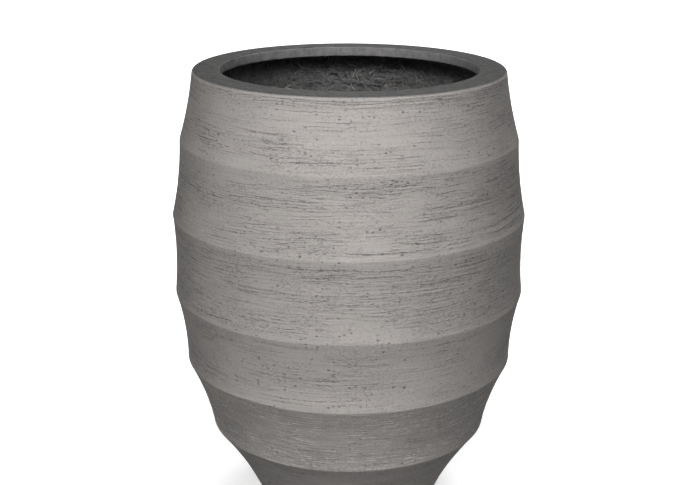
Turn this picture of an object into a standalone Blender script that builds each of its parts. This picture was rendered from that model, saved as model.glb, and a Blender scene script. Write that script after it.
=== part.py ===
"""Balloon planter: a banded fibre-clay pot with a glass-fibre lining, a plugged drain and four foot pads.

Metres, +Z up. The origin is on the floor, under the middle of the pot.
"""

import math
from collections import namedtuple

import bmesh
import bpy
from mathutils import Vector

Band = namedtuple("Band", "height hollow foot_radius")
Finish = namedtuple("Finish", "name colour roughness metallic")

# The outside, in six bands from the rim down. A crest is at its band's foot, and the last foot is the base.
RIM_RADIUS = 0.2347
BAND_1_HEIGHT = 0.1045
BAND_1_HOLLOW = 0.0023
CREST_1_RADIUS = 0.2562
BAND_2_HEIGHT = 0.1153
BAND_2_HOLLOW = 0.0031
CREST_2_RADIUS = 0.2700
BAND_3_HEIGHT = 0.1212
BAND_3_HOLLOW = 0.0033
CREST_3_RADIUS = 0.2694
BAND_4_HEIGHT = 0.1099
BAND_4_HOLLOW = 0.0040
CREST_4_RADIUS = 0.2536
BAND_5_HEIGHT = 0.1098
BAND_5_HOLLOW = 0.0045
CREST_5_RADIUS = 0.2155
BAND_6_HEIGHT = 0.1159
BAND_6_HOLLOW = 0.0055
BASE_RADIUS = 0.1440
CREST_ROUND = 0.010
BASE_ROUND = 0.005

# The rim, which turns in over the hollow
MOUTH_RADIUS = 0.1944
LIP_THICKNESS = 0.014
RIM_ROUND = 0.005
MOUTH_ROUND = 0.0025

# Walls and floor
CLAY_WALL = 0.007
CLAY_FLOOR = 0.010
LINING_WALL = 0.003
FLOOR_CORNER_ROUND = 0.020

# The drain, and the plug that closes it
BUSH_RADIUS = 0.0145
BUSH_BORE_RADIUS = 0.0110
BUSH_FLANGE_RADIUS = 0.0230
BUSH_FLANGE_THICKNESS = 0.0025
FLANGE_RECESS = 0.0010
BUSH_SHORT_OF_BASE = 0.0010
PLUG_TAPER = 0.0014
PLUG_HEAD_RADIUS = 0.0170
PLUG_HEAD_THICKNESS = 0.0040
PLUG_NECK_RADIUS = 0.0045
PLUG_NECK_LENGTH = 0.0050
PLUG_KNOB_RADIUS = 0.0080
PLUG_KNOB_THICKNESS = 0.0060
PLUG_KNOB_ROUND = 0.0020
TRIM_ROUND = 0.0010

# The foot pads, in a ring near the base's edge
FOOT_COUNT = 4
FOOT_RADIUS = 0.018
FOOT_THICKNESS = 0.005
FOOT_MARGIN = 0.010

# Pieces that touch are modelled this far apart
PIECE_GAP = 0.0003

# Faces of the turned pieces
POT_SEGMENTS = 48
DRAIN_SEGMENTS = 28
FOOT_SEGMENTS = 20
OUTER_STEPS = 4
INNER_STEPS = 2
BIG_ARC_STEPS = 3
ARC_STEPS = 2
CHAMFER_STEPS = 1
WELD_DISTANCE = 0.00001
SHARP_ANGLE = math.radians(35)

BANDS = (
    Band(BAND_1_HEIGHT, BAND_1_HOLLOW, CREST_1_RADIUS),
    Band(BAND_2_HEIGHT, BAND_2_HOLLOW, CREST_2_RADIUS),
    Band(BAND_3_HEIGHT, BAND_3_HOLLOW, CREST_3_RADIUS),
    Band(BAND_4_HEIGHT, BAND_4_HOLLOW, CREST_4_RADIUS),
    Band(BAND_5_HEIGHT, BAND_5_HOLLOW, CREST_5_RADIUS),
    Band(BAND_6_HEIGHT, BAND_6_HOLLOW, BASE_RADIUS),
)

# Heights above the base's underside
RIM_HEIGHT = sum(band.height for band in BANDS)
LIP_FOOT = RIM_HEIGHT - LIP_THICKNESS
LINING_TOP = LIP_FOOT - PIECE_GAP
LINING_FOOT = CLAY_FLOOR + PIECE_GAP
LINING_FLOOR = LINING_FOOT + LINING_WALL
FLANGE_SEAT = LINING_FLOOR - FLANGE_RECESS
BUSH_FLANGE_FOOT = FLANGE_SEAT + PIECE_GAP
PLUG_SEAT = BUSH_FLANGE_FOOT + BUSH_FLANGE_THICKNESS + PIECE_GAP

HOLE_RADIUS = BUSH_RADIUS + PIECE_GAP
BASE_LEVEL = FOOT_THICKNESS + PIECE_GAP
FOOT_RING_RADIUS = BASE_RADIUS - BASE_ROUND - FOOT_MARGIN - FOOT_RADIUS

FIBRE_CLAY = Finish("Fibre clay", (0.335, 0.322, 0.310), 0.88, 0.0)
GLASS_FIBRE = Finish("Resin-bound glass fibre", (0.045, 0.044, 0.046), 0.70, 0.0)
BUSH_PLASTIC = Finish("Dark moulded plastic", (0.030, 0.030, 0.032), 0.45, 0.0)
PLUG_RUBBER = Finish("Black rubber", (0.018, 0.018, 0.018), 0.60, 0.0)
PAD_RUBBER = Finish("Grey rubber", (0.070, 0.070, 0.070), 0.75, 0.0)


def clear_scene():
    for thing in list(bpy.data.objects):
        bpy.data.objects.remove(thing)


def material_of(finish):
    material = bpy.data.materials.new(finish.name)
    material.use_nodes = True
    shader = material.node_tree.nodes["Principled BSDF"]
    shader.inputs["Base Color"].default_value = (*finish.colour, 1.0)
    shader.inputs["Roughness"].default_value = finish.roughness
    shader.inputs["Metallic"].default_value = finish.metallic
    material.diffuse_color = (*finish.colour, 1.0)
    return material


def rounded(before, corner, after, radius, steps):
    """The arc of this radius in place of a corner, smaller where it would pass the middle of a side."""
    to_before = (before - corner).normalized()
    to_after = (after - corner).normalized()
    half_angle = to_before.angle(to_after) / 2
    longest = min((before - corner).length, (after - corner).length) / 2
    reach = min(radius / math.tan(half_angle), longest)
    centre = corner + (to_before + to_after).normalized() * (reach / math.cos(half_angle))
    start = corner + to_before * reach - centre
    end = corner + to_after * reach - centre
    turns = [start.slerp(end, step / steps).normalized() for step in range(steps + 1)]
    return [centre + turn * start.length for turn in turns]


def crossing(first, second):
    """Where two lines meet, each given as a point and a direction."""
    (point, along), (other, across) = first, second
    between = other - point
    share = between.cross(across) / along.cross(across)
    return point + along * share


def wall_corners(inset, top, foot):
    """The corners of the surface this far inside the outside, cut level at the top and the foot."""
    level = Vector((1.0, 0.0))
    lines = [(Vector((0.0, top)), level)]
    upper = Vector((RIM_RADIUS, RIM_HEIGHT))
    for band in BANDS:
        lower = Vector((band.foot_radius, upper.y - band.height))
        along = (lower - upper).normalized()
        outward = Vector((-along.y, along.x))
        lines.append((upper - outward * inset, along))
        upper = lower
    lines.append((Vector((0.0, foot)), level))
    return [crossing(line, following) for line, following in zip(lines, lines[1:])]


def banded_side(corners, steps, crest_round):
    """Points down a wall, whose hollow faces meet in crests that are rounded unless the radius is 0."""
    faces = []
    for band, upper, lower in zip(BANDS, corners, corners[1:]):
        face = []
        for step in range(steps + 1):
            share = step / steps
            hollow = Vector((4 * band.hollow * share * (1 - share), 0.0))
            face.append(upper.lerp(lower, share) - hollow)
        faces.append(face)
    points = faces[0][:-1]
    for face, following in zip(faces, faces[1:]):
        if crest_round:
            points += rounded(face[-2], face[-1], following[1], crest_round, CHAMFER_STEPS)
        else:
            points.append(face[-1])
        points += following[1:-1]
    return points + faces[-1][-1:]


def turned(section, segments, closed=True):
    """A mesh turned round Z from a section of (radius, height) points. An open one starts and ends on Z."""
    shape = bmesh.new()
    points = [shape.verts.new((point[0], 0.0, point[1])) for point in section]
    edges = [shape.edges.new(pair) for pair in zip(points, points[1:])]
    if closed:
        edges.append(shape.edges.new((points[-1], points[0])))
    bmesh.ops.spin(
        shape,
        geom=points + edges,
        cent=(0.0, 0.0, 0.0),
        axis=(0.0, 0.0, 1.0),
        angle=2 * math.pi,
        steps=segments,
        use_merge=True,
    )
    bmesh.ops.remove_doubles(shape, verts=shape.verts, dist=WELD_DISTANCE)
    bmesh.ops.recalc_face_normals(shape, faces=shape.faces)
    mesh = bpy.data.meshes.new("Turned")
    shape.to_mesh(mesh)
    shape.free()
    mesh.shade_smooth()
    mesh.set_sharp_from_angle(angle=SHARP_ANGLE)
    return mesh


def place(name, mesh, material, location):
    mesh.name = name
    piece = bpy.data.objects.new(name, mesh)
    piece.location = location
    if not mesh.materials:
        mesh.materials.append(material)
    bpy.context.scene.collection.objects.link(piece)


def make_clay_shell():
    """The banded outside, the lip that turns in at the rim, the inside behind the lining, and the floor."""
    outer = banded_side(wall_corners(0.0, RIM_HEIGHT, 0.0), OUTER_STEPS, CREST_ROUND)
    inner = banded_side(wall_corners(CLAY_WALL, LIP_FOOT, CLAY_FLOOR), INNER_STEPS, 0.0)
    mouth_top = Vector((MOUTH_RADIUS, RIM_HEIGHT))
    mouth_foot = Vector((MOUTH_RADIUS, LIP_FOOT))
    hole_foot = Vector((HOLE_RADIUS, 0.0))
    hole_top = Vector((HOLE_RADIUS, CLAY_FLOOR))

    section = rounded(mouth_foot, mouth_top, outer[0], MOUTH_ROUND, ARC_STEPS)
    section += rounded(mouth_top, outer[0], outer[1], RIM_ROUND, BIG_ARC_STEPS)
    section += outer[1:-1]
    section += rounded(outer[-2], outer[-1], hole_foot, BASE_ROUND, ARC_STEPS)
    section += [hole_foot, hole_top]
    section += rounded(hole_top, inner[-1], inner[-2], FLOOR_CORNER_ROUND, BIG_ARC_STEPS)
    section += inner[-2::-1]
    section += rounded(inner[0], mouth_foot, mouth_top, MOUTH_ROUND, CHAMFER_STEPS)
    mesh = turned(section, POT_SEGMENTS)
    place("clay_shell", mesh, material_of(FIBRE_CLAY), (0.0, 0.0, BASE_LEVEL))


def make_fibre_lining():
    """The laminate that backs the clay from the lip down and across the floor, sunk where the flange sits."""
    back_inset = CLAY_WALL + PIECE_GAP
    back = banded_side(wall_corners(back_inset, LINING_TOP, LINING_FOOT), INNER_STEPS, 0.0)
    front_inset = back_inset + LINING_WALL
    front = banded_side(wall_corners(front_inset, LINING_TOP, LINING_FLOOR), INNER_STEPS, 0.0)
    hole_foot = Vector((HOLE_RADIUS, LINING_FOOT))
    hole_top = Vector((HOLE_RADIUS, FLANGE_SEAT))
    seat_edge = Vector((BUSH_FLANGE_RADIUS + PIECE_GAP, FLANGE_SEAT))
    floor_edge = Vector((BUSH_FLANGE_RADIUS + PIECE_GAP, LINING_FLOOR))
    back_round = FLOOR_CORNER_ROUND - PIECE_GAP
    front_round = back_round - LINING_WALL

    section = back[:-1]
    section += rounded(back[-2], back[-1], hole_foot, back_round, BIG_ARC_STEPS)
    section += [hole_foot, hole_top, seat_edge, floor_edge]
    section += rounded(floor_edge, front[-1], front[-2], front_round, BIG_ARC_STEPS)
    section += front[-2::-1]
    mesh = turned(section, POT_SEGMENTS)
    place("fibre_lining", mesh, material_of(GLASS_FIBRE), (0.0, 0.0, BASE_LEVEL))


def make_drain_bush():
    """The flanged sleeve that lines the drain hole through the lining and the clay."""
    flange_top = BUSH_FLANGE_FOOT + BUSH_FLANGE_THICKNESS
    bore_top = Vector((BUSH_BORE_RADIUS, flange_top))
    flange_edge = Vector((BUSH_FLANGE_RADIUS, flange_top))
    flange_foot = Vector((BUSH_FLANGE_RADIUS, BUSH_FLANGE_FOOT))
    sleeve_top = Vector((BUSH_RADIUS, BUSH_FLANGE_FOOT))
    sleeve_foot = Vector((BUSH_RADIUS, BUSH_SHORT_OF_BASE))
    bore_foot = Vector((BUSH_BORE_RADIUS, BUSH_SHORT_OF_BASE))

    section = [bore_top]
    section += rounded(bore_top, flange_edge, flange_foot, TRIM_ROUND, ARC_STEPS)
    section += [flange_foot, sleeve_top]
    section += rounded(sleeve_top, sleeve_foot, bore_foot, TRIM_ROUND, CHAMFER_STEPS)
    section += [bore_foot]
    mesh = turned(section, DRAIN_SEGMENTS)
    place("drain_bush", mesh, material_of(BUSH_PLASTIC), (0.0, 0.0, BASE_LEVEL))


def make_drain_plug():
    """The bung, whose head lies on the bush. It has a knob to pull, and its origin is at the seat."""
    stem_radius = BUSH_BORE_RADIUS - PIECE_GAP
    stem_length = PLUG_SEAT - BUSH_SHORT_OF_BASE
    neck_foot = PLUG_HEAD_THICKNESS
    knob_foot = neck_foot + PLUG_NECK_LENGTH
    knob_top = knob_foot + PLUG_KNOB_THICKNESS
    knob_centre = Vector((0.0, knob_top))
    knob_edge = Vector((PLUG_KNOB_RADIUS, knob_top))
    knob_under = Vector((PLUG_KNOB_RADIUS, knob_foot))
    neck_top = Vector((PLUG_NECK_RADIUS, knob_foot))
    neck_base = Vector((PLUG_NECK_RADIUS, neck_foot))
    head_edge = Vector((PLUG_HEAD_RADIUS, neck_foot))
    head_under = Vector((PLUG_HEAD_RADIUS, 0.0))
    stem_top = Vector((stem_radius, 0.0))
    stem_foot = Vector((stem_radius - PLUG_TAPER, -stem_length))
    stem_centre = Vector((0.0, -stem_length))

    section = [knob_centre]
    section += rounded(knob_centre, knob_edge, knob_under, PLUG_KNOB_ROUND, ARC_STEPS)
    section += rounded(knob_edge, knob_under, neck_top, TRIM_ROUND, CHAMFER_STEPS)
    section += [neck_top, neck_base]
    section += rounded(neck_base, head_edge, head_under, TRIM_ROUND, ARC_STEPS)
    section += [head_under, stem_top]
    section += rounded(stem_top, stem_foot, stem_centre, TRIM_ROUND, ARC_STEPS)
    section += [stem_centre]
    mesh = turned(section, DRAIN_SEGMENTS, closed=False)
    place("drain_plug", mesh, material_of(PLUG_RUBBER), (0.0, 0.0, BASE_LEVEL + PLUG_SEAT))


def make_foot_pads():
    """Round pads on the base's underside, which keep the drain clear of the floor."""
    top_centre = Vector((0.0, FOOT_THICKNESS))
    top_edge = Vector((FOOT_RADIUS, FOOT_THICKNESS))
    foot_edge = Vector((FOOT_RADIUS, 0.0))
    foot_centre = Vector((0.0, 0.0))
    section = [top_centre, top_edge]
    section += rounded(top_edge, foot_edge, foot_centre, TRIM_ROUND, CHAMFER_STEPS)
    section += [foot_centre]
    mesh = turned(section, FOOT_SEGMENTS, closed=False)
    material = material_of(PAD_RUBBER)
    for number in range(FOOT_COUNT):
        angle = 2 * math.pi * (number + 0.5) / FOOT_COUNT
        spot = (FOOT_RING_RADIUS * math.cos(angle), FOOT_RING_RADIUS * math.sin(angle), 0.0)
        place(f"foot_pad_{number + 1}", mesh, material, spot)


def main():
    clear_scene()
    make_clay_shell()
    make_fibre_lining()
    make_drain_bush()
    make_drain_plug()
    make_foot_pads()


main()
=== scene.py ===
"""Balloon planter: a banded fibre-clay pot with a glass-fibre lining, a plugged drain and foot pads.

Metres, +Z up. The origin is on the floor, under the middle of the pot, and the photographed front faces -Y.
"""

import math
from collections import namedtuple

import bmesh
import bpy
from bpy.props import FloatProperty, FloatVectorProperty, IntProperty, PointerProperty
from mathutils import Matrix, Vector


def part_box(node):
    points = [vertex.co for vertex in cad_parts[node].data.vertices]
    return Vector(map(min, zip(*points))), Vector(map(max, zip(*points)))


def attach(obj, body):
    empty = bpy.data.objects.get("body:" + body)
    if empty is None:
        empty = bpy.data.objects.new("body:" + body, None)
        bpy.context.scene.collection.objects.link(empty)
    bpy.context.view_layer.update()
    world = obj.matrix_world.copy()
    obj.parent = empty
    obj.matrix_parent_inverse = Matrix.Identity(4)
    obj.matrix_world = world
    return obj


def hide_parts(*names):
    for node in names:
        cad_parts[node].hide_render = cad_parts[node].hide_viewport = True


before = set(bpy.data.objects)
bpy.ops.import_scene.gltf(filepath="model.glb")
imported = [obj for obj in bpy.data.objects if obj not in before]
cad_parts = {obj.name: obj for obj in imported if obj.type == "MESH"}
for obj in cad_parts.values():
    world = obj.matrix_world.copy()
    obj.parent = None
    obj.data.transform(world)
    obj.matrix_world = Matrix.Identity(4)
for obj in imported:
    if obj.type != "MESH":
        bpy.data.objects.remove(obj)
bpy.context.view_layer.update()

bl_info = {
    "name": "Balloon planter",
    "version": (1, 0, 0),
    "blender": (4, 5, 0),
    "location": "View3D > Sidebar > Planter",
    "description": "Makes a banded fibre-clay planter, its fibre lining, drain, foot pads and studio",
    "category": "Add Mesh",
}

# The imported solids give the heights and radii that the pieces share.
SHELL_LOW, SHELL_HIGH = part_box("clay_shell")
LINING_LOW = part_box("fibre_lining")[0]
BUSH_LOW, BUSH_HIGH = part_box("drain_bush")
PLUG_LOW, PLUG_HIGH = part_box("drain_plug")
PAD_LOW, PAD_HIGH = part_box("foot_pad_1")
PAD_CENTRES = [sum(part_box(f"foot_pad_{number}"), Vector()) / 2 for number in (1, 2, 3, 4)]

# Points nearer than this become one, and the bands' heights may differ from the frame's by the tolerance.
MERGE_DISTANCE = 0.00001
HEIGHT_TOLERANCE = 0.001

# Moulded edges that turn by more than this are drawn sharp.
SHARP_ANGLE = math.radians(40)

# Colours with their alpha.
WHITE = (1.0, 1.0, 1.0, 1.0)
DUST = (0.16, 0.155, 0.15, 1.0)

Band = namedtuple("Band", "height foot_radius hollow")
Row = namedtuple("Row", "point relief hollow rim lip", defaults=(0.0, 0.0, 0.0, 0.0))
Marks = namedtuple("Marks", "pitch half_width dashes lean seed gaps")
Strip = namedtuple("Strip", "azimuth elevation spread share")
FINISHES = ("relief", "hollow", "rim", "lip")

# The round at each end of a wall heads for the wall's point this many rows in.
ROWS_IN = 12

# Lengths over which relief comes in from the ends of the outside and of the inside, and marks from a crest.
OUTSIDE_FADE = 0.020
INSIDE_FADE = 0.012
CREST_FADE = 0.030

# Steps over which the rim's finish comes in on the mouth's round, and over which it fades on the outer round,
# with the step by which it has gone there.
RIM_IN_STEPS = 3
RIM_OUT_STEPS = 4
RIM_LAST_STEP = 6.5

# Strands lie where the lining's relief is above this. Their bow and the shortest are shares of the longest.
STRAND_RELIEF = 0.9
STRAND_BOW = 0.34
SHORTEST_STRAND = 0.35

# Marks drawn round the clay: the height from one to the next, half width, dashes in a metre, lean, seed, and
# how much of a line is gaps.
LONG_LINES = Marks(pitch=0.0084, half_width=0.00092, dashes=8.0, lean=0.020, seed=4.2, gaps=0.49)
SHORT_LINES = Marks(pitch=0.0056, half_width=0.00074, dashes=18.0, lean=-0.030, seed=9.7, gaps=0.49)
NICKS = Marks(pitch=0.0037, half_width=0.00072, dashes=55.0, lean=0.010, seed=17.1, gaps=0.51)
HAIRLINES = Marks(pitch=0.0053, half_width=0.00050, dashes=13.0, lean=-0.012, seed=23.9, gaps=0.44)
SCORES = Marks(pitch=0.0036, half_width=0.00052, dashes=30.0, lean=0.016, seed=37.3, gaps=0.46)
COMBED = Marks(pitch=0.0030, half_width=0.00066, dashes=9.0, lean=0.0, seed=51.7, gaps=0.36)
# The pale dashes are painted highlights: light caught by the lower lips of the fifth band's grooves.
PAINTED_GLINT_DASHES = Marks(pitch=0.0040, half_width=0.00095, dashes=42.0, lean=-0.008, seed=71.3, gaps=0.45)

# Heights between which the scratches gather towards the belly from below, and thin out above it.
BELLY_FOOT = (0.29, 0.38)
BELLY_TOP = (0.54, 0.63)

# Heights between which the combed marks under the rim come in.
COMBED_FOOT = SHELL_HIGH.z - 0.022
COMBED_TOP = SHELL_HIGH.z - 0.009

# Heights on the fifth band: where its pale dashes, painted highlights on the lower lips of its grooves,
# start from above, where they are in full, where they end, and half the height over which they end.
PALE_TOP = SHELL_HIGH.z - 0.436
PALE_FULL = SHELL_HIGH.z - 0.470
PALE_FOOT = SHELL_HIGH.z - 0.560
PALE_EDGE = 0.004

# Gridded strip lamps in front of the pot: degrees right of the camera and up, the grid's angle, and how much
# of the front power each has.
STRIP_DISTANCE = 3.0
STRIP_SIZE = (0.12, 1.8)
STRIPS = (
    Strip(azimuth=-13, elevation=38, spread=30, share=0.346),
    Strip(azimuth=22, elevation=38, spread=30, share=0.344),
    Strip(azimuth=-30, elevation=40, spread=16, share=0.160),
    Strip(azimuth=10, elevation=66, spread=10, share=0.072),
    Strip(azimuth=4, elevation=40, spread=13, share=0.078),
)


class PotSizes(bpy.types.PropertyGroup):
    """Sizes of the clay pot."""

    rim_radius: FloatProperty(
        name="Rim radius", description="Radius of the rim's outer edge", default=0.2347, unit="LENGTH"
    )
    mouth_radius: FloatProperty(
        name="Mouth radius", description="Radius of the hole in the lip", default=0.1944, unit="LENGTH"
    )
    lip_thickness: FloatProperty(
        name="Lip thickness", description="Height of the lip that turns in", default=0.014, unit="LENGTH"
    )
    lip_bead: FloatProperty(
        name="Lip bead",
        description="How far the mouth's foot hangs below the lip",
        default=0.0016,
        unit="LENGTH",
    )
    rim_round: FloatProperty(
        name="Rim round", description="Radius of the rim's outer edge round", default=0.0050, unit="LENGTH"
    )
    mouth_round: FloatProperty(
        name="Mouth round", description="Radius of the mouth's edges", default=0.0018, unit="LENGTH"
    )
    band_heights: FloatVectorProperty(
        name="Band heights",
        description="Heights of the bands, from the rim down",
        size=6,
        default=(0.1045, 0.1153, 0.1212, 0.1099, 0.1098, 0.1159),
        unit="LENGTH",
    )
    foot_radii: FloatVectorProperty(
        name="Foot radii",
        description="Radius at the foot of each band",
        size=6,
        default=(0.2562, 0.2700, 0.2694, 0.2536, 0.2155, 0.1440),
        unit="LENGTH",
    )
    hollows: FloatVectorProperty(
        name="Hollows",
        description="How far each band's face is hollowed at its middle",
        size=6,
        default=(0.0023, 0.0031, 0.0033, 0.0040, 0.0045, 0.0055),
        unit="LENGTH",
    )
    crest_round: FloatProperty(
        name="Crest round", description="How far the crests' round reaches", default=0.0011, unit="LENGTH"
    )
    base_round: FloatProperty(
        name="Base round", description="Radius of the base's edge", default=0.005, unit="LENGTH"
    )
    wall: FloatProperty(name="Clay wall", description="Thickness of the clay", default=0.007, unit="LENGTH")
    floor: FloatProperty(
        name="Clay floor",
        description="Thickness of the floor",
        default=0.010,
        unit="LENGTH",
    )
    floor_round: FloatProperty(
        name="Floor round",
        description="Radius where the floor meets the wall",
        default=0.020,
        unit="LENGTH",
    )
    hole_radius: FloatProperty(
        name="Drain hole radius",
        description="Radius of the hole for the drain",
        default=0.0148,
        unit="LENGTH",
    )
    row_height: FloatProperty(
        name="Row height",
        description="Height of the mesh rows on the outside",
        default=0.00185,
        unit="LENGTH",
    )
    columns: IntProperty(name="Columns", description="Mesh faces round the pot", default=228)
    crest_wander: FloatProperty(
        name="Crest wander",
        description="How far the crests wander up and down",
        default=0.0019,
        unit="LENGTH",
    )
    crest_chips: FloatProperty(
        name="Crest chips", description="How ragged the crests are", default=0.0011, unit="LENGTH"
    )
    wall_wander: FloatProperty(
        name="Wall wander", description="How far the wall is out of round", default=0.0011, unit="LENGTH"
    )
    trowel_depth: FloatProperty(
        name="Trowel depth",
        description="Depth of the level marks left by turning",
        default=0.0008,
        unit="LENGTH",
    )
    clay: FloatVectorProperty(
        name="Clay", description="Colour of the turned wall", subtype="COLOR", default=(0.445, 0.421, 0.404)
    )
    rim_clay: FloatVectorProperty(
        name="Rim clay",
        description="Colour of the smoothed rim",
        subtype="COLOR",
        default=(0.069, 0.068, 0.067),
    )
    # Lighter than the rim's top though both are the same smoothed finish: painted sheen on the mouth's inner
    # face.
    lip_sheen_clay: FloatVectorProperty(
        name="Lip clay",
        description="Colour of the mouth's inner face",
        subtype="COLOR",
        default=(0.192, 0.189, 0.188),
    )
    clay_roughness: FloatProperty(
        name="Clay roughness", description="Roughness of the wall", default=0.88, subtype="FACTOR"
    )


class LiningSizes(bpy.types.PropertyGroup):
    """Sizes of the laminate inside the pot, and of the glass strands in it."""

    wall: FloatProperty(
        name="Laminate",
        description="Thickness of the laminate",
        default=0.003,
        unit="LENGTH",
    )
    gap: FloatProperty(
        name="Gap",
        description="Gap between laminate and clay",
        default=0.0003,
        unit="LENGTH",
    )
    recess: FloatProperty(
        name="Flange recess",
        description="Depth of the seat for the drain's flange",
        default=0.001,
        unit="LENGTH",
    )
    row_height: FloatProperty(
        name="Row height",
        description="Height of the mesh rows on the inside",
        default=0.0036,
        unit="LENGTH",
    )
    columns: IntProperty(name="Columns", description="Mesh faces round the lining", default=380)
    wrinkle_depth: FloatProperty(
        name="Wrinkle depth",
        description="Depth of the folds in the laminate",
        default=0.0046,
        unit="LENGTH",
    )
    weave_depth: FloatProperty(
        name="Weave depth", description="Depth of the matting's grain", default=0.0011, unit="LENGTH"
    )
    strand_density: FloatProperty(
        name="Strand density", description="Glass strands on a square metre", default=3200.0
    )
    strand_length: FloatProperty(
        name="Strand length", description="Length of the longest strands", default=0.030, unit="LENGTH"
    )
    strand_radius: FloatProperty(
        name="Strand radius", description="Radius of a bundle of glass", default=0.00042, unit="LENGTH"
    )
    seed: IntProperty(name="Seed", description="Changes where the strands lie", default=7)
    resin: FloatVectorProperty(
        name="Resin", description="Colour of the resin", subtype="COLOR", default=(0.157, 0.154, 0.152)
    )
    glass: FloatVectorProperty(
        name="Glass", description="Colour of the strands", subtype="COLOR", default=(0.330, 0.325, 0.316)
    )


class DrainSizes(bpy.types.PropertyGroup):
    """Sizes of the drain's bush and plug."""

    bore_radius: FloatProperty(
        name="Bore radius", description="Radius of the bush's bore", default=0.0110, unit="LENGTH"
    )
    sleeve_radius: FloatProperty(
        name="Sleeve radius", description="Outer radius of the bush's sleeve", default=0.0145, unit="LENGTH"
    )
    flange_thickness: FloatProperty(
        name="Flange thickness", description="Thickness of the bush's flange", default=0.0025, unit="LENGTH"
    )
    stem_clearance: FloatProperty(
        name="Stem clearance", description="Gap between stem and bore", default=0.0003, unit="LENGTH"
    )
    stem_taper: FloatProperty(
        name="Stem taper",
        description="How much the stem narrows to its foot",
        default=0.0014,
        unit="LENGTH",
    )
    head_thickness: FloatProperty(
        name="Head thickness", description="Thickness of the plug's head", default=0.0040, unit="LENGTH"
    )
    neck_radius: FloatProperty(
        name="Neck radius", description="Radius of the plug's neck", default=0.0045, unit="LENGTH"
    )
    neck_length: FloatProperty(
        name="Neck length", description="Length of the plug's neck", default=0.0050, unit="LENGTH"
    )
    knob_radius: FloatProperty(
        name="Knob radius", description="Radius of the plug's knob", default=0.0080, unit="LENGTH"
    )
    grip_ribs: IntProperty(name="Grip ribs", description="Ribs round the knob", default=18)
    rib_depth: FloatProperty(
        name="Rib depth", description="Depth of the flutes between the ribs", default=0.0004, unit="LENGTH"
    )
    dish_depth: FloatProperty(
        name="Dish depth", description="How far the knob's top is dished", default=0.0007, unit="LENGTH"
    )
    ring_height: FloatProperty(
        name="Ring height",
        description="Height of the grooves round the stem",
        default=0.0014,
        unit="LENGTH",
    )
    ring_depth: FloatProperty(
        name="Ring depth", description="Depth of the grooves round the stem", default=0.0006, unit="LENGTH"
    )
    bead: FloatProperty(
        name="Bead", description="Depth of the groove in the flange's top", default=0.0006, unit="LENGTH"
    )
    bead_offset: FloatProperty(
        name="Bead offset",
        description="From the sleeve to the groove in the flange",
        default=0.0035,
        unit="LENGTH",
    )
    edge_round: FloatProperty(
        name="Edge round", description="Radius of the moulded edges", default=0.0010, unit="LENGTH"
    )
    columns: IntProperty(name="Columns", description="Mesh faces round the drain", default=144)
    plastic: FloatVectorProperty(
        name="Plastic", description="Colour of the bush", subtype="COLOR", default=(0.030, 0.030, 0.032)
    )
    rubber: FloatVectorProperty(
        name="Rubber", description="Colour of the plug", subtype="COLOR", default=(0.018, 0.018, 0.018)
    )


class PadSizes(bpy.types.PropertyGroup):
    """Sizes of the rubber pads under the base."""

    edge_round: FloatProperty(
        name="Edge round", description="Radius of the pads' lower edge", default=0.0010, unit="LENGTH"
    )
    groove_depth: FloatProperty(
        name="Groove depth", description="Depth of the rings in the tread", default=0.0007, unit="LENGTH"
    )
    groove_count: IntProperty(name="Grooves", description="Rings in the tread of each pad", default=3)
    columns: IntProperty(name="Columns", description="Mesh faces round a pad", default=72)
    rubber: FloatVectorProperty(
        name="Rubber", description="Colour of the pads", subtype="COLOR", default=(0.070, 0.070, 0.070)
    )


class StudioSettings(bpy.types.PropertyGroup):
    """The floor, lamps and camera."""

    floor: FloatVectorProperty(
        name="Floor",
        description="Colour of the floor to the eye",
        subtype="COLOR",
        default=(0.80, 0.80, 0.80),
    )
    bounce: FloatVectorProperty(
        name="Bounce",
        description="Colour of the floor to the pot above it",
        subtype="COLOR",
        default=(0.125, 0.125, 0.125),
    )
    near_glow: FloatProperty(
        name="Near glow", description="White that sight alone finds on the floor by the pot", default=0.50
    )
    glow_reach: FloatProperty(
        name="Glow reach", description="Where the floor looks wholly white", default=0.8, unit="LENGTH"
    )
    front_power: FloatProperty(
        name="Front power",
        description="Power of the gridded strips in front, together",
        default=4.48,
        unit="POWER",
    )
    back_power: FloatProperty(
        name="Back power", description="Power of the wide lamp behind the pot", default=240.0, unit="POWER"
    )
    mouth_power: FloatProperty(
        name="Mouth power",
        description="Power of the spot that shines in through the mouth",
        default=156.0,
        unit="POWER",
    )
    ambient: FloatProperty(name="Ambient", description="Light from all round", default=0.02)
    camera_place: FloatVectorProperty(
        name="Camera place",
        description="Where the camera stands",
        default=(0.0, -1.963, 1.0183),
        unit="LENGTH",
    )
    pitch: FloatProperty(
        name="Pitch",
        description="How far the camera looks down",
        default=math.radians(17.31),
        subtype="ANGLE",
    )
    yaw: FloatProperty(
        name="Yaw",
        description="How far the camera turns left",
        default=math.radians(0.259),
        subtype="ANGLE",
    )
    roll: FloatProperty(
        name="Roll", description="How far the camera leans", default=math.radians(0.139), subtype="ANGLE"
    )
    lens: FloatProperty(name="Lens", description="Focal length on a 36 mm sensor", default=69.245)


def add(tree, kind, inputs=None, **settings):
    """A new node in the tree, with its settings made and its inputs set or linked, by name or number."""
    made = tree.nodes.new(kind)
    for name, value in settings.items():
        setattr(made, name, value)
    for name, value in (inputs or {}).items():
        if isinstance(value, bpy.types.NodeSocket):
            tree.links.new(value, made.inputs[name])
        else:
            made.inputs[name].default_value = value
    return made


def maths(tree, operation, *values):
    """The result of a Math node."""
    return add(tree, "ShaderNodeMath", dict(enumerate(values)), operation=operation).outputs[0]


def times(tree, first, second):
    """The product of two values."""
    return maths(tree, "MULTIPLY", first, second)


def whole(tree, operation, *values):
    """The result of an Integer Math node."""
    return add(tree, "FunctionNodeIntegerMath", dict(enumerate(values)), operation=operation).outputs[0]


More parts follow.
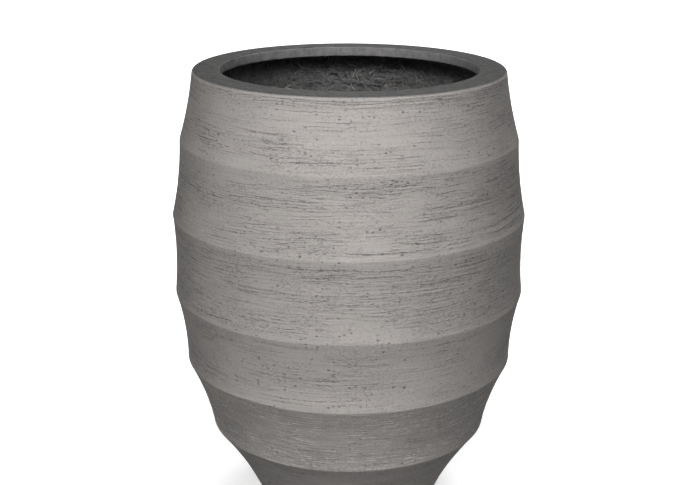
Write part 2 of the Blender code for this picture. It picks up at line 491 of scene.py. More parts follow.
def vector_maths(tree, operation, *values):
    """The vector that a Vector Math node gives."""
    return add(tree, "ShaderNodeVectorMath", dict(enumerate(values)), operation=operation).outputs[0]


def stretched(tree, vector, around, up, shift=0.0):
    """Coordinates for a pattern with this many features in a metre round the pot, and up it."""
    return vector_maths(tree, "MULTIPLY_ADD", vector, (around, around, up), (shift, shift, shift))


def noise_at(tree, vector, detail=2.0, roughness=0.5, distortion=0.0):
    """A noise from 0 to 1, mostly near a half, at these coordinates."""
    inputs = {
        "Vector": vector,
        "Scale": 1.0,
        "Detail": detail,
        "Roughness": roughness,
        "Distortion": distortion,
    }
    return add(tree, "ShaderNodeTexNoise", inputs).outputs["Fac"]


def noise(tree, place, around, up, shift=0.0, **character):
    """A noise with this many features in a metre round the pot, and up it."""
    return noise_at(tree, stretched(tree, place, around, up, shift), **character)


def ramp(tree, value, low, high, to_low=0.0, to_high=1.0, smooth=True):
    """The value moved from one range to another, and held within it."""
    inputs = {"Value": value, "From Min": low, "From Max": high, "To Min": to_low, "To Max": to_high}
    kind = "SMOOTHSTEP" if smooth else "LINEAR"
    return add(tree, "ShaderNodeMapRange", inputs, interpolation_type=kind).outputs["Result"]


def swing(tree, value, amount):
    """A noise moved to swing this far to either side of 0."""
    return times(tree, maths(tree, "SUBTRACT", value, 0.5), amount)


def combined(tree, operation, first, *others):
    """Several values joined by one operation."""
    for other in others:
        first = maths(tree, operation, first, other)
    return first


def mixed(tree, share, first, second):
    """A colour between two others, which the Mix node has as its sockets 6 and 7."""
    inputs = {"Factor": share, 6: first, 7: second}
    return add(tree, "ShaderNodeMix", inputs, data_type="RGBA", blend_type="MIX").outputs[2]


def opaque(colour):
    """A colour with its alpha."""
    return (*colour, 1.0)


def shaded(colour, share):
    """A colour made darker or lighter by a share."""
    return tuple(channel * share for channel in colour)


def scaled(tree, vector, amount):
    """A vector made longer or shorter by a value."""
    return add(tree, "ShaderNodeVectorMath", {0: vector, "Scale": amount}, operation="SCALE").outputs[0]


def toned(tree, colour, tone):
    """A fixed colour made darker or lighter by a value."""
    return scaled(tree, tuple(colour), tone)


def split(tree, vector):
    """A vector's X, Y and Z."""
    return add(tree, "ShaderNodeSeparateXYZ", {"Vector": vector}).outputs


def vector_of(tree, **parts):
    """A vector of the X, Y and Z that are given, and 0 for the others."""
    return add(tree, "ShaderNodeCombineXYZ", parts).outputs[0]


def new_material(name, roughness, specular):
    """A material, its tree and its shader, with the values that are the same all over."""
    material = bpy.data.materials.new(name)
    material.use_nodes = True
    tree = material.node_tree
    shader = tree.nodes["Principled BSDF"]
    shader.inputs["Roughness"].default_value = roughness
    shader.inputs["Specular IOR Level"].default_value = specular
    return material, tree, shader


def object_coordinates(tree):
    """Where each point of a surface is, for a material."""
    return add(tree, "ShaderNodeTexCoord").outputs["Object"]


def bump(tree, shader, height, distance, strength=1.0):
    """A height in shares of a distance, put on a shader as a bump."""
    made = add(tree, "ShaderNodeBump", {"Height": height, "Distance": distance, "Strength": strength})
    tree.links.new(made.outputs["Normal"], shader.inputs["Normal"])


def held(value):
    """A number kept within 0 and 1."""
    return min(1.0, max(0.0, value))


def at(radius, height):
    """A point of a section, or a direction in it."""
    return Vector((radius, height))


def crossing(first, second):
    """Where two lines meet, each given as a point and a direction."""
    (point, along), (other, across) = first, second
    between = other - point
    share = between.cross(across) / along.cross(across)
    return point + along * share


def rounded(before, corner, after, radius, steps):
    """The arc of this radius in place of a corner, smaller where it would pass the middle of a side."""
    to_before = (before - corner).normalized()
    to_after = (after - corner).normalized()
    half_angle = to_before.angle(to_after) / 2
    longest = min((before - corner).length, (after - corner).length) / 2
    reach = min(radius / math.tan(half_angle), longest)
    centre = corner + (to_before + to_after).normalized() * (reach / math.cos(half_angle))
    start = corner + to_before * reach - centre
    end = corner + to_after * reach - centre
    turns = [start.slerp(end, step / steps).normalized() for step in range(steps + 1)]
    return [centre + turn * start.length for turn in turns]


def pot_bands(pot):
    """The pot's bands, from the rim down."""
    return [Band(*sizes) for sizes in zip(pot.band_heights, pot.foot_radii, pot.hollows)]


def wall_corners(pot, inset, top, foot):
    """The corners of the surface this far inside the outside, cut level at the top and the foot."""
    level = at(1.0, 0.0)
    lines = [(at(0.0, top), level)]
    upper = at(pot.rim_radius, SHELL_HIGH.z)
    for band in pot_bands(pot):
        lower = at(band.foot_radius, upper.y - band.height)
        along = (lower - upper).normalized()
        outward = at(-along.y, along.x)
        lines.append((upper - outward * inset, along))
        upper = lower
    lines.append((at(0.0, foot), level))
    return [crossing(line, following) for line, following in zip(lines, lines[1:])]


def banded_side(pot, corners, row_height):
    """Points down a wall, whose hollow faces meet in narrow rounded crests."""
    faces = []
    for band, upper, lower in zip(pot_bands(pot), corners, corners[1:]):
        length = (upper - lower).length
        margin = pot.crest_round / length
        steps = round(length / row_height)
        face = []
        for step in range(steps + 1):
            share = margin + (1 - 2 * margin) * step / steps
            hollow = at(4 * band.hollow * share * (1 - share), 0.0)
            face.append(upper.lerp(lower, share) - hollow)
        faces.append(face)
    points = faces[0]
    for face, crest in zip(faces[1:], corners[1:]):
        points = points + [(points[-1] + crest * 2 + face[0]) / 4] + face
    return points


def section_mesh(name, rows):
    """The rows of a section as loose points, with how much relief and how much of each finish they take."""
    mesh = bpy.data.meshes.new(name)
    mesh.from_pydata([(row.point.x, 0.0, row.point.y) for row in rows], [], [])
    for label in FINISHES:
        values = mesh.attributes.new(label, "FLOAT", "POINT")
        values.data.foreach_set("value", [getattr(row, label) for row in rows])
    return mesh


def new_tree(name, values):
    """A geometry node tree with a geometry in and out, and an input for each named value."""
    kinds = {int: "Int", float: "Float", bpy.types.Material: "Material"}
    tree = bpy.data.node_groups.new(name, "GeometryNodeTree")
    tree.interface.new_socket("Geometry", in_out="INPUT", socket_type="NodeSocketGeometry")
    for label, value in values.items():
        tree.interface.new_socket(label, in_out="INPUT", socket_type=f"NodeSocket{kinds[type(value)]}")
    tree.interface.new_socket("Geometry", in_out="OUTPUT", socket_type="NodeSocketGeometry")
    return tree, add(tree, "NodeGroupInput").outputs


def end_tree(tree, geometry, material):
    """The tree's end: instances made real, shading smooth, and the material set."""
    geometry = add(tree, "GeometryNodeRealizeInstances", {"Geometry": geometry}).outputs[0]
    geometry = add(tree, "GeometryNodeSetShadeSmooth", {"Geometry": geometry}).outputs[0]
    geometry = add(tree, "GeometryNodeSetMaterial", {"Geometry": geometry, "Material": material}).outputs[0]
    add(tree, "NodeGroupOutput", {"Geometry": geometry})


def position(tree):
    """Where each point of a geometry is."""
    return add(tree, "GeometryNodeInputPosition").outputs[0]


def kept_value(tree, name):
    """The value of this name that each point of a geometry has."""
    return add(tree, "GeometryNodeInputNamedAttribute", {"Name": name}, data_type="FLOAT").outputs[0]


def turned_skin(tree, section, columns):
    """Nodes that turn a section's points round Z into one closed skin, with its finishes kept."""
    rows = add(tree, "GeometryNodeAttributeDomainSize", {"Geometry": section}).outputs["Point Count"]
    grid_rows = whole(tree, "ADD", rows, 1)
    sides = {"Vertices X": whole(tree, "ADD", columns, 1), "Vertices Y": grid_rows}
    grid = add(tree, "GeometryNodeMeshGrid", sides).outputs["Mesh"]
    index = add(tree, "GeometryNodeInputIndex").outputs[0]
    column = whole(tree, "MODULO", whole(tree, "DIVIDE_FLOOR", index, grid_rows), columns)
    row = whole(tree, "MODULO", whole(tree, "MODULO", index, grid_rows), rows)

    for label in FINISHES:
        inputs = {"Geometry": section, "Value": kept_value(tree, label), "Index": row}
        sampled = add(tree, "GeometryNodeSampleIndex", inputs, data_type="FLOAT").outputs[0]
        inputs = {"Geometry": grid, "Name": label, "Value": sampled}
        grid = add(tree, "GeometryNodeStoreNamedAttribute", inputs, data_type="FLOAT").outputs[0]

    inputs = {"Geometry": section, "Value": position(tree), "Index": row}
    point = add(tree, "GeometryNodeSampleIndex", inputs, data_type="FLOAT_VECTOR").outputs[0]
    angle = maths(tree, "DIVIDE", times(tree, column, math.tau), columns)
    inputs = {"Vector": point, "Angle": angle}
    turned = add(tree, "ShaderNodeVectorRotate", inputs, rotation_type="Z_AXIS").outputs[0]
    skin = add(tree, "GeometryNodeSetPosition", {"Geometry": grid, "Position": turned}).outputs[0]
    inputs = {"Geometry": skin, "Distance": MERGE_DISTANCE}
    return add(tree, "GeometryNodeMergeByDistance", inputs).outputs[0]


def displaced(tree, geometry, outward, upward):
    """The geometry moved away from Z and up it, as far as its relief lets it."""
    relief = kept_value(tree, "relief")
    away = vector_maths(tree, "NORMALIZE", vector_maths(tree, "MULTIPLY", position(tree), (1.0, 1.0, 0.0)))
    sideways = scaled(tree, away, times(tree, outward, relief))
    offset = vector_maths(tree, "ADD", sideways, vector_of(tree, Z=times(tree, upward, relief)))
    return add(tree, "GeometryNodeSetPosition", {"Geometry": geometry, "Offset": offset}).outputs[0]


def new_object(name, data):
    """An object in the scene for this mesh, lamp or camera."""
    made = bpy.data.objects.new(name, data)
    bpy.context.scene.collection.objects.link(made)
    return made


def from_tree(name, mesh, tree, values):
    """A plain mesh object: what the tree makes of a mesh, with the tree's named inputs set."""
    piece = new_object(name, mesh)
    modifier = piece.modifiers.new("Shape", "NODES")
    modifier.node_group = tree
    for item in tree.interface.items_tree:
        if item.in_out == "INPUT" and item.name in values:
            modifier[item.identifier] = values[item.name]
    graph = bpy.context.evaluated_depsgraph_get()
    made = bpy.data.meshes.new_from_object(piece.evaluated_get(graph), depsgraph=graph)
    piece.modifiers.remove(modifier)
    piece.data = made
    made.name = name
    made.materials.clear()
    made.materials.append(values["Material"])
    made.polygons.foreach_set("material_index", [0] * len(made.polygons))
    bpy.data.meshes.remove(mesh)
    if not made.polygons:
        raise RuntimeError(f"{name} came out empty")
    return piece


def face_out(piece):
    """Turns every face of a closed piece outwards."""
    shape = bmesh.new()
    shape.from_mesh(piece.data)
    bmesh.ops.recalc_face_normals(shape, faces=shape.faces)
    if shape.calc_volume(signed=True) < 0:
        bmesh.ops.reverse_faces(shape, faces=shape.faces)
    shape.to_mesh(piece.data)
    shape.free()


def turned_piece(name, section, columns, material, flute=None):
    """A closed piece turned round Z from (radius, height) points, which start and end on Z or else meet.

    A flute function gives how far a point is moved out, by its number in the section and its angle round Z.
    """
    shape = bmesh.new()
    rings = []
    for number, (radius, height) in enumerate(section):
        ring = []
        for column in range(columns):
            angle = math.tau * column / columns
            reach = radius + (flute(number, angle) if flute else 0.0)
            ring.append(shape.verts.new((reach * math.cos(angle), reach * math.sin(angle), height)))
        rings.append(ring)
    on_axis = section[0].x == 0.0
    for upper, lower in zip(rings, rings[1:] if on_axis else rings[1:] + rings[:1]):
        for column in range(columns):
            following = (column + 1) % columns
            shape.faces.new((upper[column], upper[following], lower[following], lower[column]))
    bmesh.ops.remove_doubles(shape, verts=shape.verts, dist=MERGE_DISTANCE)
    bmesh.ops.dissolve_degenerate(shape, edges=shape.edges, dist=MERGE_DISTANCE)
    bmesh.ops.recalc_face_normals(shape, faces=shape.faces)
    mesh = bpy.data.meshes.new(name)
    shape.to_mesh(mesh)
    shape.free()
    mesh.shade_smooth()
    mesh.set_sharp_from_angle(angle=SHARP_ANGLE)
    mesh.materials.append(material)
    return new_object(name, mesh)


def finished(piece, body, slot, *nodes):
    """The piece rides on its body and stands for its nodes. The slot is not used."""
    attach(piece, body)
    if nodes:
        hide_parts(*nodes)


def drawn_marks(tree, place, marks):
    """Broken lines round the pot, one in each pitch of height, that meander and swell and fade."""
    axes = split(tree, place)
    drift = swing(tree, noise(tree, place, 5.0, 16.0, shift=marks.seed), 0.022)
    teeth = noise(tree, place, 130.0, 260.0, shift=marks.seed, detail=3.0, roughness=0.7)
    ragged = swing(tree, teeth, 0.0042)
    lean = times(tree, axes["X"], marks.lean)
    level = combined(tree, "ADD", axes["Z"], drift, ragged, lean)
    turns = maths(tree, "DIVIDE", level, marks.pitch)
    number = maths(tree, "FLOOR", turns)
    chance = add(tree, "ShaderNodeTexWhiteNoise", {"W": number}, noise_dimensions="1D").outputs["Value"]
    middle = ramp(tree, chance, 0.0, 1.0, 0.2, 0.8, smooth=False)
    away = maths(tree, "ABSOLUTE", maths(tree, "SUBTRACT", maths(tree, "FRACT", turns), middle))
    distance = times(tree, away, marks.pitch)
    spot = vector_of(
        tree,
        X=times(tree, axes["X"], marks.dashes),
        Y=times(tree, axes["Y"], marks.dashes),
        Z=maths(tree, "MULTIPLY_ADD", number, 3.71, marks.seed),
    )
    broken = noise_at(tree, spot, detail=4.0, roughness=0.75)
    swell = ramp(tree, broken, marks.gaps, marks.gaps + 0.14, 0.00002, marks.half_width)
    return ramp(tree, distance, times(tree, swell, 0.35), swell, 1.0, 0.0)


def clay_scratches(tree, place, hollow):
    """Level scratches in drawn-out patches, most on the belly and under the rim, and fewer at the crests."""
    height_up = split(tree, place)["Z"]
    from_foot = ramp(tree, height_up, *BELLY_FOOT)
    belly = times(tree, from_foot, ramp(tree, height_up, *BELLY_TOP, 1.0, 0.0))
    patches = noise(tree, place, 5.5, 22.0, shift=12.3, detail=3.0, roughness=0.6)
    patches = maths(tree, "MULTIPLY_ADD", belly, 0.10, patches)
    raked = ramp(tree, patches, 0.45, 0.64)
    turned = ramp(tree, noise(tree, place, 4.0, 30.0, shift=61.0, detail=3.0, roughness=0.6), 0.43, 0.53)
    layers = (
        (LONG_LINES, ramp(tree, patches, 0.37, 0.60)),
        (SHORT_LINES, raked),
        (NICKS, raked),
        (HAIRLINES, times(tree, turned, 0.70)),
        (SCORES, times(tree, raked, 0.70)),
        (COMBED, ramp(tree, height_up, COMBED_FOOT, COMBED_TOP, 0.0, 0.80)),
    )
    drawn = [times(tree, drawn_marks(tree, place, marks), share) for marks, share in layers]
    off_crest = ramp(tree, hollow, 0.05, 0.40, 0.22, 1.0)
    crumbs = noise(tree, place, 260.0, 240.0, shift=41.0, roughness=0.6)
    pitted = ramp(tree, crumbs, 0.40, 0.54, 0.55, 1.0)
    return combined(tree, "MULTIPLY", combined(tree, "MAXIMUM", *drawn), off_crest, pitted)


def clay_pinholes(tree, place):
    """Small ragged cells of a pattern, picked by its random colour, that gather in patches."""
    inputs = {"Vector": stretched(tree, place, 420.0, 600.0), "Scale": 1.0, "Detail": 1.0}
    crumbs = add(tree, "ShaderNodeTexNoise", inputs).outputs["Color"]
    spaced = stretched(tree, place, 130.0, 215.0, 2.2)
    jolted = vector_maths(tree, "MULTIPLY_ADD", crumbs, (0.7, 0.7, 0.7), spaced)
    inputs = {"Vector": jolted, "Scale": 1.0, "Randomness": 1.0}
    cells = add(tree, "ShaderNodeTexVoronoi", inputs, feature="F1", distance="EUCLIDEAN").outputs
    chance = add(tree, "ShaderNodeSeparateColor", {"Color": cells["Color"]}).outputs["Red"]
    hole = ramp(tree, cells["Distance"], 0.12, 0.38, 1.0, 0.0)
    picked = ramp(tree, chance, 0.66, 0.86, 0.0, 1.0, smooth=False)
    gathered = ramp(tree, noise(tree, place, 14.0, 34.0, shift=21.7, detail=3.0), 0.42, 0.56)
    return combined(tree, "MULTIPLY", hole, picked, gathered)


def finish_share(tree, name):
    """How much of a finish the section gave to each point."""
    return add(tree, "ShaderNodeAttribute", attribute_name=name).outputs["Fac"]


def clay_material(pot):
    """Turned fibre clay: level streaks, scratches and pinholes on the wall, and a smooth darker rim.

    Its colour holds painted shade in the scratches, the pinholes and on the lower bands, painted highlights
    on the fifth band's dashes, and painted sheen on the mouth's inner face.
    """
    wall_gloss = 0.25
    rim_gloss = 0.04
    material, tree, shader = new_material("Turned fibre clay", pot.clay_roughness, wall_gloss)
    place = object_coordinates(tree)
    rim = finish_share(tree, "rim")
    lip = finish_share(tree, "lip")
    wall = maths(tree, "SUBTRACT", 1.0, maths(tree, "MAXIMUM", rim, lip))

    broad = noise(tree, place, 2.2, 26.0, detail=3.0, roughness=0.55)
    streaks = noise(tree, place, 6.0, 330.0, shift=3.1, detail=4.0, roughness=0.65)
    mottle = noise(tree, place, 24.0, 70.0, shift=5.7, detail=4.0, roughness=0.65)
    grain = noise(tree, place, 380.0, 470.0, shift=1.3, detail=3.0, roughness=0.75)
    rough_patches = ramp(tree, noise(tree, place, 11.0, 20.0, shift=31.0, detail=3.0), 0.36, 0.60)
    crumbs = ramp(tree, noise(tree, place, 230.0, 360.0, shift=7.7, roughness=0.6), 0.50, 0.66)
    crumbly = times(tree, crumbs, rough_patches)

    height_up = split(tree, place)["Z"]
    scratches = clay_scratches(tree, place, finish_share(tree, "hollow"))
    marked = maths(tree, "MAXIMUM", scratches, clay_pinholes(tree, place))
    cavity = combined(tree, "MULTIPLY", marked, wall, ramp(tree, height_up, PALE_FULL, PALE_TOP, 0.85, 1.0))
    # The fifth band's pale dashes, in patches, are painted highlights where the lower lips of its grooves
    # catch the light from above; the bump raises them a little too.
    glint_patches = ramp(tree, noise(tree, place, 9.0, 26.0, shift=77.0, detail=3.0, roughness=0.6), 0.34, 0.56)
    under_top = ramp(tree, height_up, PALE_FULL, PALE_TOP, 1.0, 0.0)
    over_foot = ramp(tree, height_up, PALE_FOOT - PALE_EDGE, PALE_FOOT + PALE_EDGE)
    dashes = drawn_marks(tree, place, PAINTED_GLINT_DASHES)
    pale = combined(tree, "MULTIPLY", dashes, glint_patches, under_top, over_foot)
    tone = combined(
        tree,
        "ADD",
        1.0,
        swing(tree, broad, 0.14),
        swing(tree, streaks, 0.26),
        swing(tree, mottle, 0.26),
        swing(tree, grain, 0.66),
        times(tree, crumbly, -0.20),
        # Darker below the fifth band's top: painted shade of the downward-facing lower bands.
        times(tree, under_top, -0.08),
    )
    # Scratches and pinholes take a much darker clay colour: painted shade in the hollows, which the bump also
    # cuts in.
    cavity_shade = opaque(shaded(pot.clay, 0.22))
    dug = mixed(tree, times(tree, cavity, 0.80), toned(tree, pot.clay, tone), cavity_shade)
    # The dashes take a much lighter clay: painted highlights.
    dug = mixed(tree, times(tree, pale, 0.62), dug, opaque(shaded(pot.clay, 1.95)))
    rim_blotches = noise(tree, place, 95.0, 95.0, shift=4.0, detail=4.0, roughness=0.75)
    rim_tone = ramp(tree, rim_blotches, 0.3, 0.7, 0.76, 1.24)
    topped = mixed(tree, rim, dug, toned(tree, pot.rim_clay, rim_tone))
    # The mouth's inner face takes the lighter lip colour: painted sheen.
    lipped = mixed(tree, lip, topped, toned(tree, pot.lip_sheen_clay, rim_tone))
    tree.links.new(lipped, shader.inputs["Base Color"])
    tree.links.new(ramp(tree, rim, 0.0, 1.0, wall_gloss, rim_gloss), shader.inputs["Specular IOR Level"])

    height = combined(
        tree,
        "ADD",
        times(tree, swing(tree, streaks, 0.50), wall),
        times(tree, swing(tree, grain, 0.25), maths(tree, "ADD", wall, 0.60)),
        times(tree, crumbly, times(tree, wall, -0.3)),
        times(tree, cavity, -0.60),
        times(tree, pale, 0.30),
    )
    bump(tree, shader, height, 0.001)
    return material


def clay_section(pot):
    """The clay's section: the mouth, the rim, the banded outside, the base, the hole and the inside."""
    if abs(sum(pot.band_heights) - (SHELL_HIGH.z - SHELL_LOW.z)) > HEIGHT_TOLERANCE:
        raise ValueError("the band heights don't add up to the height of clay_shell")
    lip_foot = SHELL_HIGH.z - pot.lip_thickness
    floor_top = SHELL_LOW.z + pot.floor
    corners = wall_corners(pot, 0.0, SHELL_HIGH.z, SHELL_LOW.z)
    inner = wall_corners(pot, pot.wall, lip_foot, floor_top)
    mouth_top = at(pot.mouth_radius, SHELL_HIGH.z)
    mouth_foot = at(pot.mouth_radius, lip_foot - pot.lip_bead)
    hole_foot = at(pot.hole_radius, SHELL_LOW.z)
    hole_top = at(pot.hole_radius, floor_top)

    outer = banded_side(pot, corners, pot.row_height)
    mouth = rounded(mouth_foot, mouth_top, corners[0], pot.mouth_round, 5)
    edge = rounded(mouth_top, corners[0], outer[ROWS_IN], pot.rim_round, 8)
    face = [mouth[-1].lerp(edge[0], share) for share in (0.25, 0.5, 0.75)]
    base = rounded(outer[-ROWS_IN], corners[-1], hole_foot, pot.base_round, 4)
    half_row = pot.row_height / 2
    side = [point for point in outer if edge[-1].y - half_row > point.y > base[0].y + half_row]
    corner = rounded(hole_top, inner[-1], inner[-2], pot.floor_round, 4)
    throat = rounded(inner[0], mouth_foot, mouth_top, pot.mouth_round, 3)

    rims = [held(step / RIM_IN_STEPS) for step in range(len(mouth))]
    rows = [Row(point, rim=rim, lip=1 - rim) for point, rim in zip(mouth, rims)]
    rows += [Row(point, rim=1.0) for point in face]
    rims = [held((RIM_LAST_STEP - step) / RIM_OUT_STEPS) for step in range(len(edge))]
    rows += [Row(point, rim=rim) for point, rim in zip(edge, rims)]
    for point in side:
        from_ends = min(edge[-1].y - point.y, point.y - base[0].y)
        from_crest = min(abs(point.y - crest.y) for crest in corners[1:-1])
        rows.append(Row(point, relief=held(from_ends / OUTSIDE_FADE), hollow=held(from_crest / CREST_FADE)))
    rows += [Row(point) for point in base + [hole_foot, hole_top] + corner + inner[-2::-1]]
    rows += [Row(point, lip=1.0) for point in throat]
    return rows


class PLANTER_OT_clay_body(bpy.types.Operator):
    """Turns the banded clay pot with its inturned rim"""

    bl_idname = "planter.clay_body"
    bl_label = "Clay body"

    def execute(self, context):
        pot = context.scene.planter_pot
        values = {
            "Columns": pot.columns,
            "Crest wander": pot.crest_wander,
            "Crest chips": pot.crest_chips,
            "Wall wander": pot.wall_wander,
            "Trowel depth": pot.trowel_depth,
            "Material": clay_material(pot),
        }
        tree, given = new_tree("Turned clay", values)
        skin = turned_skin(tree, given["Geometry"], given["Columns"])
        place = position(tree)
        wander = swing(tree, noise(tree, place, 9.0, 12.0), given["Crest wander"])
        chips = swing(tree, noise(tree, place, 70.0, 40.0, shift=6.5), given["Crest chips"])
        out = swing(tree, noise(tree, place, 5.0, 9.0, shift=2.5, detail=1.0), given["Wall wander"])
        marks = noise(tree, place, 6.0, 95.0, shift=9.5, detail=3.0, roughness=0.55)
        marks = swing(tree, marks, given["Trowel depth"])
        skin = displaced(tree, skin, maths(tree, "ADD", out, marks), maths(tree, "ADD", wander, chips))
        end_tree(tree, skin, given["Material"])
        piece = from_tree("clay_body", section_mesh("Clay section", clay_section(pot)), tree, values)
        face_out(piece)
        finished(piece, "pot", "fibre_clay", "clay_shell")
        return {"FINISHED"}


def resin_material(lining):
    """Dark resin over glass matting: wrinkled, blotchy, glossier where the resin pooled, and lighter on its
    fold ridges, where painted highlights stand for the light that the folds catch.
    """
    material, tree, shader = new_material("Resin-bound matting", 0.50, 0.50)
    place = object_coordinates(tree)
    blotches = noise(tree, place, 26.0, 26.0, detail=4.0, roughness=0.6)
    matting = noise(tree, place, 190.0, 190.0, shift=3.3, detail=3.0, roughness=0.65, distortion=1.2)
    folds = noise(tree, place, 48.0, 60.0, shift=8.1, detail=4.0, roughness=0.65, distortion=0.3)
    ridges = ramp(tree, maths(tree, "ABSOLUTE", maths(tree, "SUBTRACT", folds, 0.5)), 0.0, 0.16, 1.0, 0.0)
    tone = combined(
        tree,
        "ADD",
        0.84,
        swing(tree, blotches, 1.0),
        swing(tree, matting, 1.8),
        # Lighter on the fold ridges: painted highlights.
        times(tree, ridges, 0.35),
    )
    tree.links.new(toned(tree, lining.resin, tone), shader.inputs["Base Color"])
    tree.links.new(ramp(tree, blotches, 0.35, 0.65, 0.34, 0.66), shader.inputs["Roughness"])
    raised = times(tree, ridges, 0.60)
    bump(tree, shader, combined(tree, "ADD", raised, swing(tree, matting, 0.7), blotches), 0.0090)
    return material


def lining_section(pot, lining):
    """The laminate's section: its back against the clay, the flange's seat, the floor and the inside."""
    lip_foot = SHELL_HIGH.z - pot.lip_thickness
    top = lip_foot - lining.gap
    floor_top = LINING_LOW.z + lining.wall
    back_inset = pot.wall + lining.gap
    back_round = pot.floor_round - lining.gap
    back = wall_corners(pot, back_inset, top, LINING_LOW.z)
    front_corners = wall_corners(pot, back_inset + lining.wall, top, floor_top)
    front = banded_side(pot, front_corners, lining.row_height)
    seat = floor_top - lining.recess
    seat_radius = BUSH_HIGH.x + lining.gap
    hole_foot = at(pot.hole_radius, LINING_LOW.z)
    hole_top = at(pot.hole_radius, seat)
    seat_edge = at(seat_radius, seat)
    floor_edge = at(seat_radius, floor_top)

    corner = rounded(back[-2], back[-1], hole_foot, back_round, 4)
    rows = [Row(point) for point in back[:-1] + corner + [hole_foot, hole_top, seat_edge, floor_edge]]
    turn = rounded(floor_edge, front_corners[-1], front[-ROWS_IN], back_round - lining.wall, 6)
    steps = round((turn[0] - floor_edge).length / lining.row_height)
    floor = [floor_edge.lerp(turn[0], step / steps) for step in range(1, steps)]
    side = [point for point in front if point.y > turn[-1].y + lining.row_height / 2]
    for point in floor + turn + side[::-1]:
        from_ends = min(point.x - seat_radius, lip_foot - point.y)
        rows.append(Row(point, relief=held(from_ends / INSIDE_FADE)))
    return rows


class PLANTER_OT_fibre_lining(bpy.types.Operator):
    """Lays the wrinkled laminate inside the pot"""

    bl_idname = "planter.fibre_lining"
    bl_label = "Fibre lining"

    def execute(self, context):
        lining = context.scene.planter_lining
        values = {
            "Columns": lining.columns,
            "Wrinkle depth": lining.wrinkle_depth,
            "Weave depth": lining.weave_depth,
            "Material": resin_material(lining),
        }
        tree, given = new_tree("Wrinkled laminate", values)
        skin = turned_skin(tree, given["Geometry"], given["Columns"])
        place = position(tree)
        folds = noise(tree, place, 52.0, 44.0, shift=1.7, detail=3.0, roughness=0.55, distortion=0.9)
        creases = maths(tree, "ABSOLUTE", maths(tree, "SUBTRACT", folds, 0.5))
        wrinkles = times(tree, creases, times(tree, given["Wrinkle depth"], -3.0))
        weave = noise(tree, place, 120.0, 120.0, shift=4.1)
        weave = swing(tree, weave, given["Weave depth"])
        skin = displaced(tree, skin, maths(tree, "ADD", wrinkles, weave), weave)
        end_tree(tree, skin, given["Material"])
        section = section_mesh("Laminate section", lining_section(context.scene.planter_pot, lining))
        piece = from_tree("laminate_lining", section, tree, values)
        face_out(piece)
        finished(piece, "pot", "glass_fibre", "fibre_lining")
        return {"FINISHED"}


def strand_material(lining):
    """Bundles of glass with resin on them, some paler than others."""
    material, tree, shader = new_material("Glass strands", 0.45, 0.50)
    place = object_coordinates(tree)
    tone = ramp(tree, noise(tree, place, 60.0, 60.0, shift=9.0, detail=3.0), 0.40, 0.68, 0.25, 1.9)
    tree.links.new(toned(tree, lining.glass, tone), shader.inputs["Base Color"])
    bump(tree, shader, noise(tree, place, 900.0, 900.0, detail=1.0), 0.0002)
    return material


def bowed_strand(tree, length):
    """One strand: a curve of this length along X that bows towards Y."""
    reach = times(tree, length, 0.5)
    inputs = {
        "Resolution": 5,
        "Start": vector_of(tree, X=times(tree, reach, -1.0)),
        "Middle": vector_of(tree, Y=times(tree, length, STRAND_BOW)),
        "End": vector_of(tree, X=reach),
    }
    return add(tree, "GeometryNodeCurveQuadraticBezier", inputs).outputs[0]


class PLANTER_OT_glass_strands(bpy.types.Operator):
    """Scatters chopped glass strands over the lining"""

    bl_idname = "planter.glass_strands"
    bl_label = "Glass strands"

    def execute(self, context):
        lining = context.scene.planter_lining
        values = {
            "Density": lining.strand_density,
            "Length": lining.strand_length,
            "Radius": lining.strand_radius,
            "Seed": lining.seed,
            "Material": strand_material(lining),
        }
        tree, given = new_tree("Scattered strands", values)
        surface = given["Geometry"]
        inside = maths(tree, "GREATER_THAN", kept_value(tree, "relief"), STRAND_RELIEF)
        inputs = {"Mesh": surface, "Selection": inside, "Density": given["Density"], "Seed": given["Seed"]}
        scattered = add(tree, "GeometryNodeDistributePointsOnFaces", inputs).outputs
        inputs = {"Axis": (0.0, 0.0, 1.0), "Angle": random_float(tree, 0.0, math.tau, 3)}
        spin = add(tree, "FunctionNodeAxisAngleToRotation", inputs).outputs[0]
        inputs = {"Rotation": scattered["Rotation"], "Rotate By": spin}
        facing = add(tree, "FunctionNodeRotateRotation", inputs, rotation_space="LOCAL").outputs[0]
        inputs = {
            "Points": scattered["Points"],
            "Instance": bowed_strand(tree, given["Length"]),
            "Rotation": facing,
            "Scale": vector_of(
                tree,
                X=random_float(tree, SHORTEST_STRAND, 1.0, 5),
                Y=random_float(tree, -1.0, 1.0, 8),
                Z=1.0,
            ),
        }
        laid = add(tree, "GeometryNodeInstanceOnPoints", inputs).outputs[0]
        laid = add(tree, "GeometryNodeRealizeInstances", {"Geometry": laid}).outputs[0]
        on_wall = add(tree, "GeometryNodeProximity", {"Geometry": surface}, target_element="FACES")
        inputs = {"Geometry": laid, "Position": on_wall.outputs["Position"]}
        laid = add(tree, "GeometryNodeSetPosition", inputs).outputs[0]
        inputs = {"Resolution": 4, "Radius": given["Radius"]}
        ring = add(tree, "GeometryNodeCurvePrimitiveCircle", inputs).outputs[0]
        inputs = {"Curve": laid, "Profile Curve": ring, "Fill Caps": True}
        tubes = add(tree, "GeometryNodeCurveToMesh", inputs).outputs[0]
        end_tree(tree, tubes, given["Material"])
        surface_mesh = bpy.data.objects["laminate_lining"].data.copy()
        piece = from_tree("glass_strands", surface_mesh, tree, values)
        finished(piece, "pot", "glass_fibre")
        return {"FINISHED"}


def random_float(tree, low, high, seed):
    """A random number for each point."""
    made = add(tree, "FunctionNodeRandomValue", data_type="FLOAT")
    values = {"Min": low, "Max": high, "Seed": seed}
    for socket in made.inputs:
        if socket.enabled and socket.name in values:
            socket.default_value = values[socket.name]
    return next(socket for socket in made.outputs if socket.enabled)


